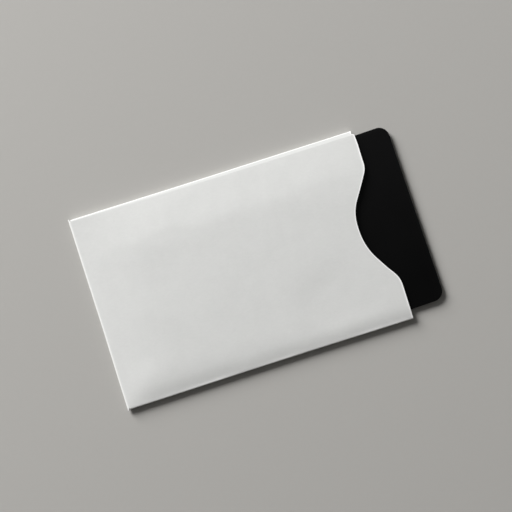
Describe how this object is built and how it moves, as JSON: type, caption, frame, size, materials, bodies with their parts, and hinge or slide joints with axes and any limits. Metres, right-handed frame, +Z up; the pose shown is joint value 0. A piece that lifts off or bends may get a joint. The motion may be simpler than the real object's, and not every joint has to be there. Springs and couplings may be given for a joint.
{
  "type": "card sleeve",
  "caption": "Flat folded sleeve of foil-lined white paper with a thumb notch at its open end, holding a plain black card that slides out.",
  "frame": {"origin": "centre of the sleeve and card together, seen from above, on the table that the back panel lies on", "axes": "+X along the sleeve to its open end, +Y to the spine fold, +Z up through the front panel"},
  "size_m": [0.099, 0.059, 0.0024],
  "materials": {
    "paper": "smooth coated white paper, faintly satin",
    "foil": "rolled foil, satin",
    "film": "thin clear film over foil, glossy",
    "glue": "dried adhesive",
    "card_face": "satin black laminate",
    "card_core": "black plastic sheet",
    "inlay": "translucent plastic sheet",
    "antenna": "etched track",
    "chip": "moulded module"
  },
  "bodies": {
    "sleeve": {"front_panel": "paper", "back_panel": "paper", "spine_fold": "paper", "side_fold": "paper", "side_flap": "paper", "end_fold": "paper", "end_flap": "paper", "foil_shield": "foil", "liner_film": "film", "side_seam_glue": "glue", "end_seam_glue": "glue"},
    "card": {"card_front_overlay": "card_face", "card_front_core": "card_core", "card_chip": "chip", "card_antenna": "antenna", "card_inlay": "inlay", "card_back_core": "card_core", "card_back_overlay": "card_face"}
  },
  "joints": [
    {"name": "card_slide", "type": "slide", "parent": "sleeve", "child": "card", "axis": [1, 0, 0], "range_m": [-0.0115, 0.078]}
  ]
}
